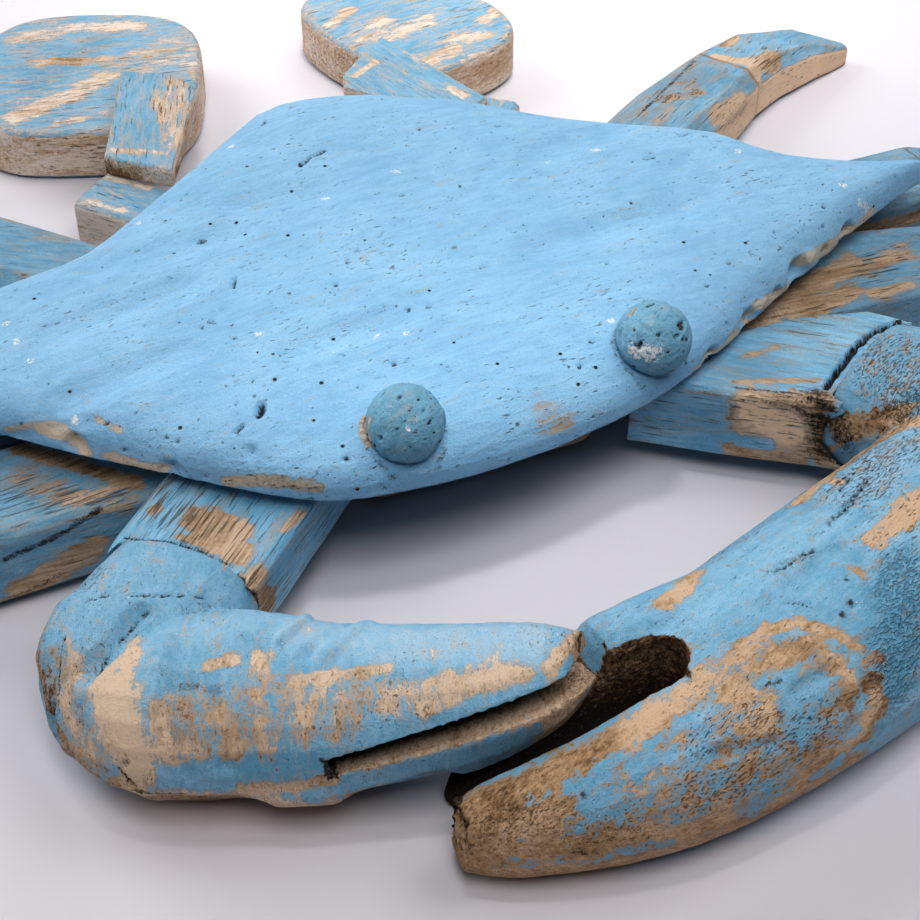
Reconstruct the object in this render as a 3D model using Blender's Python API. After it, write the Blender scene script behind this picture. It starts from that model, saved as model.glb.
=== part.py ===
"""Carved wooden crab ornament with distressed blue paint, as a still model.

Frame: metres, +Z up, floor at z = 0. The crab faces -Y and its own left side is +X.
Sizes below are millimetres; MM turns them into metres when a mesh is made.
"""
import math

import bmesh
import bpy
from mathutils import Vector

MM = 0.001
PLAN_CENTRE = Vector((0, 21.81, 0))  # middle of the whole crab in plan, moved to the origin
GAP = 0.3                    # clearance between two glued pieces
ARM_MARGIN = 8.0             # how far the arm cutters reach past the arms, up and down
CUTTER_SPAN = (-5.0, 40.0)   # bottom and top of the upright cutters, past every piece they cut
CUTTER_REACH = 40.0          # how far the finger-end cutter reaches past the claw

# Shell: one domed board on top of the crab
SHELL_HALF_WIDTH = 115.0     # centre to the tip of a side spine
SHELL_UNDERSIDE = 24.0       # height of the flat underside above the floor
SHELL_CROWN = 14.0           # board thickness at the middle
SHELL_TIP_THICK = 6.0        # board thickness at a side spine
SHELL_DOME_POWER = 3.0       # higher is flatter on top and squarer at the rim
SHELL_THINNING = 0.8         # power by which the board thins from its middle to its spines
SHELL_EASE = 0.7             # small bevel along the lower rim
SHELL_BUNCHING = 0.35        # how far the loft sections bunch towards the spines
SHELL_FRONT = ((-115, 7), (-100, 0), (-88, -7), (-76, -17.5), (-63, -28.5), (-50, -39.5), (-36, -47.2),
               (-22, -49.6), (-6, -50), (14, -47.4), (29, -43.4), (45, -36.5), (60, -28), (79, -17.5),
               (95, -9.5), (107, -4), (115, -1))
SHELL_BACK = ((-115, 12), (-104, 19), (-92, 27), (-78, 33), (-62, 36.5), (-46, 47.5), (-34, 57), (-22, 67.5),
              (-11, 75.5), (2, 76.5), (17, 72), (32, 61.5), (46, 49), (61, 38.5), (76, 29), (84, 17.5),
              (92, 10.5), (103, 5), (115, 1.5))

# Eyes: two turned knobs near the front rim
EYE_RADIUS = 7.3
EYE_CAP = 0.35               # size of the small flat at a ball's poles, as a share of one loft step
EYE_RIGHT_AT = (-22.4, -43.0, 35.0)
EYE_LEFT_AT = (28.6, -38.6, 35.2)

# Body block under the shell, a polygon whose sides meet the limbs
BODY_LOW = 2.0
BODY_TOP = SHELL_UNDERSIDE - GAP
BODY_BEVEL = 2.0             # height of the bevel round the block's foot
BODY_FOOT_SCALE = 0.94       # size of the foot against the block
BODY_SIDE = ((22, -28), (47, -6), (54, 2), (55, 24), (44, 43), (30, 52))

# Arms: planks from the body into the wrists: stations (x, y, half width, low, high)
ARM_RIGHT = ((-34.6, -17.2, 14.2, 9, 21.8), (-65.0, -46.5, 14.2, 8, 21.8), (-70.8, -52.1, 12.7, 8, 21.8))
ARM_LEFT = ((34.6, -24.6, 10.4, 5.4, 21.8), (48.4, -35.8, 9.8, 5.4, 21.8), (62.5, -40.6, 14, 5.4, 22),
            (73.2, -46.2, 16.8, 6, 22.4), (79.9, -50.6, 15, 7, 22))

# Wrists and palms: stations (x, y, height of centre, half width, half height)
WRIST_RIGHT = ((-65.4, -47.0, 14, 14.4, 11.5), (-71.5, -53.4, 14, 15.4, 13), (-78.5, -60.4, 14, 15.6, 13.6),
               (-85.0, -66.2, 13.6, 12.8, 12.4), (-89.6, -70.4, 12.6, 7.4, 8))
PALM_RIGHT = ((-89.0, -63.0, 13, 8, 9), (-81.5, -68.5, 14, 14.5, 13.2), (-73.0, -72.6, 13.8, 17, 14.2),
              (-64.0, -76.4, 13.8, 16.8, 14.2), (-52.0, -83.4, 15.2, 14.8, 13), (-36.0, -90.4, 18, 12.6, 11.4),
              (-26.0, -93.8, 20.2, 10.8, 9.8), (-18.4, -95.6, 22.4, 8.2, 8.2), (-11.8, -96.0, 24, 3.4, 5.2))
WRIST_LEFT = ((72.6, -45.6, 14.4, 16.4, 11.6), (77.6, -54.0, 14.8, 17.4, 13.6), (84.4, -62.4, 14.8, 17.4, 14.4),
              (92.4, -69.6, 14.4, 14.4, 13), (98.0, -74.0, 13.4, 8.6, 9))
PALM_LEFT = ((99.0, -66.0, 13.6, 9, 10), (90.5, -73.5, 14.8, 17, 14.4), (79.0, -81.0, 14.8, 21.4, 15.2),
             (65.0, -87.4, 14.6, 22.4, 15.4), (47.0, -93.4, 14.6, 22.2, 15.4), (29.0, -99.4, 14.6, 22, 15),
             (12.0, -103.8, 14.6, 21, 14), (0.0, -105.6, 13.8, 18.8, 12.8))
FINGER_LEFT_FRONT = ((14.0, -107.6, 14, 17, 13), (-2.0, -112.8, 13.4, 13.4, 12.6), (-16.0, -113.6, 12.2, 10.8, 11.4),
                     (-28.0, -112.4, 11, 8.4, 9.8), (-36.0, -111.0, 10, 6.6, 8.4), (-41.0, -110.6, 9.8, 4.2, 6.6))
# the back finger runs on low beneath the tip of the right claw
FINGER_LEFT_BACK = ((16.0, -94.0, 14.6, 12.2, 13.4), (5.0, -92.4, 14.2, 9.2, 12.9), (-3.0, -92.2, 14, 7.6, 12.4),
                    (-8.8, -92.2, 13.2, 7.2, 11.8), (-11.2, -92.4, 9.8, 6.9, 8.6), (-14.0, -92.7, 7.9, 6.7, 7),
                    (-18.0, -93.0, 6.6, 6.4, 5.8), (-25.0, -94.2, 5, 5.8, 4.2), (-32.0, -96.4, 3.7, 4.4, 2.9),
                    (-37.0, -98.6, 2.6, 2, 1.8))
SLOT_LEFT_END = (-2.6, -101.8)       # rounded inner end of the gouged slot
SLOT_LEFT_RADIUS = 4.8
SLOT_LEFT_MOUTH = ((-16.0, -97.4), (-60.0, -99.8), (-60.0, -106.0), (-20.0, -107.6))
SLIT_START = (-56.6, -97.4, 18.9)     # where the saw cut of the right claw begins on its front face
SLIT_TOWARDS = (-23.0, -103.0, 26.0)  # a later point of the cut on that face
SLIT_DIP = 24.0                      # degrees that the cut falls away behind the front face
SLIT_HALF = (1.5, 2.2)               # half thickness at the start and 55 mm on
SLIT_REACH = 55.0
SLIT_DEPTHS = (-30.0, 50.0)          # the saw cut runs right through the claw
UPPER_FINGER_END = ((24.0, -20.0), (60.0, 30.0))  # two points (along the cut, depth behind the face) of its end

# Walking legs, given for the crab's left side: stations (x, y, half width, low, high)
LEG_1 = ((43.0, -14.0, 11.6, 3, 18.6), (70.0, -14.0, 12, 3, 19), (98.0, -14.6, 12.4, 2.4, 18.4),
         (120.0, -16.6, 10.8, 1.2, 16), (136.0, -21.6, 8.6, 0, 12.6), (152.0, -29.0, 5.2, 0, 8.4),
         (161.0, -34.6, 1.6, 0, 4))
LEG_2 = ((48.0, 10.6, 10.2, 3, 18.4), (80.0, 11.0, 10.6, 3, 19.4), (106.0, 12.0, 10.6, 2.4, 19.2),
         (127.0, 14.6, 9.8, 1.2, 17.4), (143.0, 15.2, 8, 0, 13), (157.0, 13.4, 4.8, 0, 8.4),
         (166.0, 11.4, 1.5, 0, 3.8))
LEG_3 = ((41.0, 28.5, 10.4, 3, 17.6), (66.0, 46.2, 11.4, 2.6, 18), (91.0, 63.6, 12.2, 1.4, 17),
         (110.6, 78.0, 10.6, 0.4, 14), (124.0, 84.6, 9.8, 0, 12.8), (139.0, 87.0, 7, 0, 10.4),
         (153.0, 86.6, 1.8, 0, 5.2))
KNEE = 3                     # station where a leg's upper piece ends and its tip begins
LEG_CHAMFERS = (0.12, 0.2, 0.34)     # share of the half width cut off each top corner, by leg
RIGHT_LEG_TURN = (1.0, -1.0, 14.0)    # degrees by which each right leg differs from its mirror image

# Swimming paddles: root bar, stem on top of its end, flat paddle under the stem's far end
ROOT_RIGHT = ((-20.0, 52.0), (-48.6, 86.0))
ROOT_LEFT = ((20.0, 52.0), (51.0, 86.6))
ROOT_HALF_WIDTH = 7.6
STEM_RIGHT = ((-44.6, 88.8), (-31.7, 77.0), (-15.2, 111.0), (-19.2, 119.6), (-30.6, 126.4))
STEM_LEFT = ((16.6, 96.6), (36.4, 72.4), (47.0, 79.0), (43.2, 90.0), (34.0, 117.4), (18.8, 103.6))
STEM_TOP = 18.0
STEM_EASE = 0.8              # bevel on the stem's top edges
PADDLE_TOP = 13.0
PADDLE_EASE = 1.2            # bevel on the paddle's edges
PADDLE_RIGHT_HALF = (28.6, 30.0)     # half width and half length
PADDLE_LEFT_HALF = (22.4, 28.0)
PADDLE_POWER = 3.0
PADDLE_RIGHT_AT = (-37.0, 137.6)
PADDLE_LEFT_AT = (46.9, 132.4)
PADDLE_TURN = 19.0           # degrees that a paddle leans towards the middle

# Bars: how bevels are limited
DEEPEST_BEVEL = 0.45         # of a bar's height
FOOT_BEVEL = 0.4             # size of the bottom bevels against the top ones

# Colours: linear RGB and roughness
SHELL_BLUE = ((0.33, 0.60, 0.83), 0.55)
LIMB_BLUE = ((0.18, 0.42, 0.60), 0.7)
BARE_WOOD = ((0.42, 0.28, 0.16), 0.8)


def clear_scene():
    for old in list(bpy.data.objects):
        bpy.data.objects.remove(old, do_unlink=True)


def material(name, finish):
    """A matt painted-wood or bare-wood material for one object."""
    colour, roughness = finish
    mat = bpy.data.materials.new(name)
    mat.use_nodes = True
    shader = mat.node_tree.nodes["Principled BSDF"]
    shader.inputs["Base Color"].default_value = (*colour, 1.0)
    shader.inputs["Roughness"].default_value = roughness
    shader.inputs["Metallic"].default_value = 0.0
    return mat


def interpolate(points, x):
    """Smooth value at x of a curve through (x, value) points in rising x."""
    last = len(points) - 1
    i = max(j for j in range(last) if points[j][0] <= x or j == 0)
    (x0, y0), (x1, y1) = points[i], points[i + 1]
    before = points[i - 1] if i > 0 else points[i]
    after = points[i + 2] if i + 2 <= last else points[i + 1]
    slope0 = (y1 - before[1]) / (x1 - before[0])
    slope1 = (after[1] - y0) / (after[0] - x0)
    t = (x - x0) / (x1 - x0)
    span = x1 - x0
    return ((2 * t**3 - 3 * t**2 + 1) * y0 + (t**3 - 2 * t**2 + t) * span * slope0
            + (3 * t**2 - 2 * t**3) * y1 + (t**3 - t**2) * span * slope1)


def smooth_stations(stations, steps):
    """Stations with steps - 1 more between each two, on a Catmull-Rom curve."""
    out = []
    last = len(stations) - 1
    for i in range(last):
        p0, p1 = stations[max(i - 1, 0)], stations[i]
        p2, p3 = stations[i + 1], stations[min(i + 2, last)]
        for k in range(steps):
            t = k / steps
            out.append(tuple(0.5 * (2 * b + (c - a) * t + (2 * a - 5 * b + 4 * c - d) * t * t
                                    + (3 * b - a - 3 * c + d) * t**3)
                             for a, b, c, d in zip(p0, p1, p2, p3)))
    out.append(tuple(stations[last]))
    return out


def side_vectors(path):
    """Horizontal unit vectors at right angles to a path in plan, one per station."""
    sides = []
    for i in range(len(path)):
        a, b = path[max(i - 1, 0)], path[min(i + 1, len(path) - 1)]
        along = Vector((b[0] - a[0], b[1] - a[1])).normalized()
        sides.append(Vector((along.y, -along.x)))
    return sides


def closed_body(name, rings, finish=None, smooth=False):
    """One closed object lofted through rings of equal length, with flat ends."""
    mesh = bpy.data.meshes.new(name)
    bm = bmesh.new()
    loops = [[bm.verts.new((Vector(p) - PLAN_CENTRE) * MM) for p in ring] for ring in rings]
    count = len(loops[0])
    for low, high in zip(loops, loops[1:]):
        for k in range(count):
            n = (k + 1) % count
            bm.faces.new((low[k], low[n], high[n], high[k]))
    bm.faces.new(reversed(loops[0]))
    bm.faces.new(loops[-1])
    bmesh.ops.recalc_face_normals(bm, faces=bm.faces)
    bm.to_mesh(mesh)
    bm.free()
    if smooth:
        mesh.shade_smooth()
        mesh.set_sharp_from_angle(angle=math.radians(40))
    obj = bpy.data.objects.new(name, mesh)
    bpy.context.scene.collection.objects.link(obj)
    if finish:
        mesh.materials.append(material(name + "_finish", finish))
    else:
        obj.hide_render = True
        obj.display_type = "WIRE"
    return obj


def combine(obj, other, operation):
    """Adds an exact Boolean of obj with a hidden helper object."""
    boolean = obj.modifiers.new(operation.lower() + "_" + other.name, "BOOLEAN")
    boolean.operation = operation
    boolean.solver = "EXACT"
    boolean.object = other
    return obj


def superellipse(angle, power):
    """Unit superellipse point at an angle."""
    c, s = math.cos(angle), math.sin(angle)
    return (math.copysign(abs(c) ** (2 / power), c), math.copysign(abs(s) ** (2 / power), s))


def carved_limb(name, stations, finish=None, grow=0.0, power=2.4, sides=20, steps=3):
    """A rounded limb along (x, y, centre height, half width, half height), flattened where it meets the floor."""
    path = smooth_stations(stations, steps)
    rings = []
    for (x, y, z, half_w, half_h), side in zip(path, side_vectors(path)):
        ring = []
        for k in range(sides):
            c, s = superellipse(2 * math.pi * (k + 0.5) / sides, power)
            across = side * (c * (half_w + grow))
            ring.append((x + across.x, y + across.y, max(z + s * (half_h + grow), -grow)))
        rings.append(ring)
    return closed_body(name, rings, finish, smooth=True)


def plank(name, stations, finish=None, grow=0.0, chamfer=0.16, sides=None):
    """A bar with bevelled edges along (x, y, half width, low, high) stations."""
    rings = []
    for (x, y, half_w, low, high), side in zip(stations, sides or side_vectors(stations)):
        w = half_w + grow
        top, bottom = high + grow, low - grow
        cut = chamfer * w
        drop = min(cut, DEEPEST_BEVEL * (high - low))
        foot, lift = cut * FOOT_BEVEL, drop * FOOT_BEVEL
        ring = []
        for u, z in ((-w + foot, bottom), (w - foot, bottom), (w, bottom + lift), (w, top - drop),
                     (w - cut, top), (-w + cut, top), (-w, top - drop), (-w, bottom + lift)):
            ring.append((x + side.x * u, y + side.y * u, z))
        rings.append(ring)
    return closed_body(name, rings, finish)


def shell_solid(name, finish=None, grow=0.0, columns=44, rows=26):
    """The domed board, lofted from spine to spine; grow makes a slightly larger cutter."""
    rings = []
    for i in range(columns + 1):
        even, bunched = 2 * i / columns - 1, -math.cos(math.pi * i / columns)
        x = SHELL_HALF_WIDTH * (even + SHELL_BUNCHING * (bunched - even))
        front, back = interpolate(SHELL_FRONT, x) - grow, interpolate(SHELL_BACK, x) + grow
        spread = 1 - (x / SHELL_HALF_WIDTH) ** 2
        thick = SHELL_TIP_THICK + (SHELL_CROWN - SHELL_TIP_THICK) * spread ** SHELL_THINNING + grow
        middle, half = (front + back) / 2, (back - front) / 2
        ring = [(x, back - SHELL_EASE, SHELL_UNDERSIDE - grow), (x, front + SHELL_EASE, SHELL_UNDERSIDE - grow)]
        for k in range(rows + 1):
            c, s = superellipse(math.pi * (1 - k / rows), SHELL_DOME_POWER)
            ring.append((x, middle + c * half, SHELL_UNDERSIDE + SHELL_EASE + s * (thick - SHELL_EASE)))
        rings.append(ring)
    return closed_body(name, rings, finish, smooth=True)


def make_eye(name, at, finish, levels=12, sides=24):
    """A ball knob, cut to sit on the shell with a fine seam round its base."""
    rings = []
    for i in range(levels + 1):
        a = math.pi * (i + EYE_CAP) / (levels + 2 * EYE_CAP)
        r = EYE_RADIUS * math.sin(a)
        z = at[2] - EYE_RADIUS * math.cos(a)
        rings.append([(at[0] + r * math.cos(2 * math.pi * k / sides),
                       at[1] + r * math.sin(2 * math.pi * k / sides), z) for k in range(sides)])
    eye = closed_body(name, rings, finish, smooth=True)
    return combine(eye, bpy.data.objects["cutter_shell"], "DIFFERENCE")


def body_outline(grow=0.0):
    """Plan polygon of the body block, from its right front corner round to its left front corner."""
    left = [(x + grow, y + (grow if y > 0 else -grow)) for x, y in BODY_SIDE]
    return [(-x, y) for x, y in left] + left[::-1]


def make_body():
    outline = body_outline()
    levels = ((BODY_LOW, BODY_FOOT_SCALE), (BODY_LOW + BODY_BEVEL, 1.0), (BODY_TOP, 1.0))
    return closed_body("body", [[(x * k, y * k, z) for x, y in outline] for z, k in levels], BARE_WOOD)


def trimmed(obj, *cutters):
    """Cuts an object back to clear the grown copies of its neighbours."""
    for name in cutters:
        combine(obj, bpy.data.objects[name], "DIFFERENCE")
    return obj


def slot_cutter():
    """The gouged slot between the fingers of the left claw: a round inner end that opens towards the tips."""
    (x0, y0), r = SLOT_LEFT_END, SLOT_LEFT_RADIUS
    angles = [math.pi * (k / 10 - 0.5) for k in range(11)]
    outline = [(x0 + r * math.cos(a), y0 + r * math.sin(a)) for a in angles] + list(SLOT_LEFT_MOUTH)
    return closed_body("cutter_slot", [[(x, y, z) for x, y in outline] for z in CUTTER_SPAN])


def slit_frame():
    """Origin and unit vectors of the saw cut: along the claw, into it, and across the cut."""
    origin = Vector(SLIT_START)
    along = (Vector(SLIT_TOWARDS) - origin).normalized()
    level = Vector((-along.y, along.x, 0)).normalized()
    dip = math.radians(SLIT_DIP)
    inward = (level * math.cos(dip) - Vector((0, 0, 1)) * math.sin(dip)).normalized()
    return origin, along, inward, along.cross(inward).normalized()


def slit_cutter():
    """The saw cut between the fingers of the right claw, a thin wedge that widens towards the tips."""
    origin, along, inward, across = slit_frame()
    rings = []
    for depth in SLIT_DEPTHS:
        ring = []
        for reach, half in ((0, -SLIT_HALF[0]), (SLIT_REACH, -SLIT_HALF[1]), (SLIT_REACH, SLIT_HALF[1]),
                            (0, SLIT_HALF[0])):
            ring.append(origin + along * reach + inward * depth + across * half)
        rings.append(ring)
    return closed_body("cutter_slit", rings)


def tip_cutter():
    """Slants the end of the right claw's upper finger."""
    origin, along, inward, across = slit_frame()
    (u0, v0), (u1, v1) = UPPER_FINGER_END
    corners = ((u0, v0), (u1, v1), (u1 + CUTTER_REACH, v1), (u1 + CUTTER_REACH, v0))
    rings = [[origin + along * u + inward * v + across * h for u, v in corners] for h in (0, CUTTER_REACH)]
    return closed_body("cutter_tip", rings)


def make_claws():
    for side, wrist, palm in (("right", WRIST_RIGHT, PALM_RIGHT), ("left", WRIST_LEFT, PALM_LEFT)):
        claw = carved_limb("claw_" + side, palm, LIMB_BLUE)
        combine(claw, carved_limb("helper_wrist_" + side, wrist), "UNION")
    claw = bpy.data.objects["claw_left"]
    combine(claw, carved_limb("helper_finger_front", FINGER_LEFT_FRONT), "UNION")
    combine(claw, carved_limb("helper_finger_back", FINGER_LEFT_BACK), "UNION")
    combine(claw, slot_cutter(), "DIFFERENCE")
    claw = bpy.data.objects["claw_right"]
    combine(claw, tip_cutter(), "DIFFERENCE")
    combine(claw, slit_cutter(), "DIFFERENCE")


def make_arms():
    for side, arm_path, wrist in (("right", ARM_RIGHT, WRIST_RIGHT), ("left", ARM_LEFT, WRIST_LEFT)):
        arm = plank("arm_" + side, arm_path, LIMB_BLUE, chamfer=0.1)
        carved_limb("cutter_wrist_" + side, wrist, grow=GAP)
        trimmed(arm, "cutter_body", "cutter_wrist_" + side)
        tall = [(x, y, half_w, low - ARM_MARGIN, high + ARM_MARGIN) for x, y, half_w, low, high in arm_path]
        plank("cutter_arm_" + side, tall, grow=GAP, chamfer=0.02)


def place_leg(stations, sign, turn):
    """Stations of a leg for one side, turned about its inner end by some degrees."""
    x0, y0 = stations[0][:2]
    angle = math.radians(turn)
    out = []
    for x, y, *rest in stations:
        dx, dy = x - x0, y - y0
        out.append((sign * (x0 + dx * math.cos(angle) - dy * math.sin(angle)),
                    y0 + dx * math.sin(angle) + dy * math.cos(angle), *rest))
    return out


def make_legs():
    """Each leg is one path; its upper piece and its tip meet on one plane at the knee."""
    for number, leg in enumerate((LEG_1, LEG_2, LEG_3), start=1):
        for side, sign in (("left", 1), ("right", -1)):
            path = place_leg(leg, sign, 0.0 if sign > 0 else RIGHT_LEG_TURN[number - 1])
            sides = side_vectors(path)
            chamfer = LEG_CHAMFERS[number - 1]
            name = f"leg_{side}_{number}"
            upper = plank(name + "_upper", path[:KNEE + 1], LIMB_BLUE, chamfer=chamfer, sides=sides[:KNEE + 1])
            neighbours = ["cutter_arm_" + side, "cutter_wrist_" + side] if number == 1 else []
            trimmed(upper, "cutter_body", *neighbours)
            x, y, *rest = path[KNEE]
            ahead = Vector((-sides[KNEE].y, sides[KNEE].x)) * GAP
            tip = [(x + ahead.x, y + ahead.y, *rest)] + path[KNEE + 1:]
            plank(name + "_tip", tip, LIMB_BLUE, chamfer=chamfer, sides=sides[KNEE:])


def flat_paddle(name, at, half, turn, sides=40):
    """A thick rounded slab with eased edges, lying on the floor."""
    rings = []
    for z, inset in ((0, PADDLE_EASE), (PADDLE_EASE, 0), (PADDLE_TOP - PADDLE_EASE, 0), (PADDLE_TOP, PADDLE_EASE)):
        ring = []
        for k in range(sides):
            c, s = superellipse(2 * math.pi * (k + 0.5) / sides, PADDLE_POWER)
            u, v = c * (half[0] - inset), s * (half[1] - inset)
            ring.append((at[0] + u * math.cos(turn) - v * math.sin(turn),
                         at[1] + u * math.sin(turn) + v * math.cos(turn), z))
        rings.append(ring)
    return closed_body(name, rings, LIMB_BLUE)


def stem_block(name, corners):
    """A low block of the given plan that lies on the root bar and the paddle, its top edges eased."""
    middle = sum((Vector(c) for c in corners), Vector((0, 0))) / len(corners)
    rings = []
    for z, ease in ((PADDLE_TOP + GAP, 0.0), (STEM_TOP - STEM_EASE, 0.0), (STEM_TOP, STEM_EASE)):
        shrunk = [middle + (Vector(c) - middle) * (1 - ease / (Vector(c) - middle).length) for c in corners]
        rings.append([(c.x, c.y, z) for c in shrunk])
    return closed_body(name, rings, LIMB_BLUE)


def make_paddles():
    for side, sign, root, stem, at, half in (
            ("left", 1, ROOT_LEFT, STEM_LEFT, PADDLE_LEFT_AT, PADDLE_LEFT_HALF),
            ("right", -1, ROOT_RIGHT, STEM_RIGHT, PADDLE_RIGHT_AT, PADDLE_RIGHT_HALF)):
        bar = [(x, y, ROOT_HALF_WIDTH, BODY_LOW, PADDLE_TOP) for x, y in root]
        trimmed(plank("paddle_root_" + side, bar, LIMB_BLUE), "cutter_body")
        stem_block("paddle_stem_" + side, stem)
        flat_paddle("paddle_" + side, at, half, math.radians(PADDLE_TURN) * sign)


def main():
    clear_scene()
    shell_solid("shell", SHELL_BLUE)
    shell_solid("cutter_shell", grow=GAP)
    closed_body("cutter_body", [[(x, y, z) for x, y in body_outline(GAP)] for z in CUTTER_SPAN])
    make_eye("eye_right", EYE_RIGHT_AT, SHELL_BLUE)
    make_eye("eye_left", EYE_LEFT_AT, SHELL_BLUE)
    make_body()
    make_claws()
    make_arms()
    make_legs()
    make_paddles()


main()
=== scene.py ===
"""Looks of a hand-carved wooden crab ornament with rubbed-back blue paint.

Each CAD solid is copied, remeshed finely and carved further: undulations, pits, cracks and chips are real
relief. The same strokes that carve it also say where paint is worn off, stained or chipped, and procedural
materials turn those marks into paint over open-grained wood.

Frame: metres, +Z up, floor at z = 0, the crab faces -Y. Tables and carving work in millimetres.
A stroke is (half width, amount, point, point, ...): a soft ragged brush drawn along a line of points. Points
with three numbers lie in space; points with two lie on the top side.
What the amounts mean: sculpt, crack and hole in millimetres (a sculpt above 0 raises); bare from -1 painted
to 1 bare; tone from -1 deep paint and brown wood over 1 chalky paint and pale wood to 2 bleached wood, where
some strokes also paint light on lit faces and shade on low ones; dark (stain, and painted shade in hollows,
grooves, the claws' slot and slit and round the eyes), pale (chips to the white ground), pores (open grain)
and ripple (dimpled skin, its dimples painted darker as shade) from 0 up.
"""

import math

import bmesh
import bpy
import numpy as np
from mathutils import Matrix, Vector


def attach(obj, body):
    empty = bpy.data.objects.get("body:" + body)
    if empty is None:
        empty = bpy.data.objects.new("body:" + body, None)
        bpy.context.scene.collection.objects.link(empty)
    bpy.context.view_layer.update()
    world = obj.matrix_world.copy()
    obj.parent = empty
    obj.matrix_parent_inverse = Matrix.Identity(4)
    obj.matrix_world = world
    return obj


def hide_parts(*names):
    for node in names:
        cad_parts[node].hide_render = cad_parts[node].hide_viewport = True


MM = 0.001
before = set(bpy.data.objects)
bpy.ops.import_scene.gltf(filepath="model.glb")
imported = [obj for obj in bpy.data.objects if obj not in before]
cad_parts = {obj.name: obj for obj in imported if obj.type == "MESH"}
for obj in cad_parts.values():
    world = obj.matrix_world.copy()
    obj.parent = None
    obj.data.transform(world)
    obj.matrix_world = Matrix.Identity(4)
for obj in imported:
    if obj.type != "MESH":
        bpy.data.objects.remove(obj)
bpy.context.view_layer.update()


# ---- strokes

STROKES = {}

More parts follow.
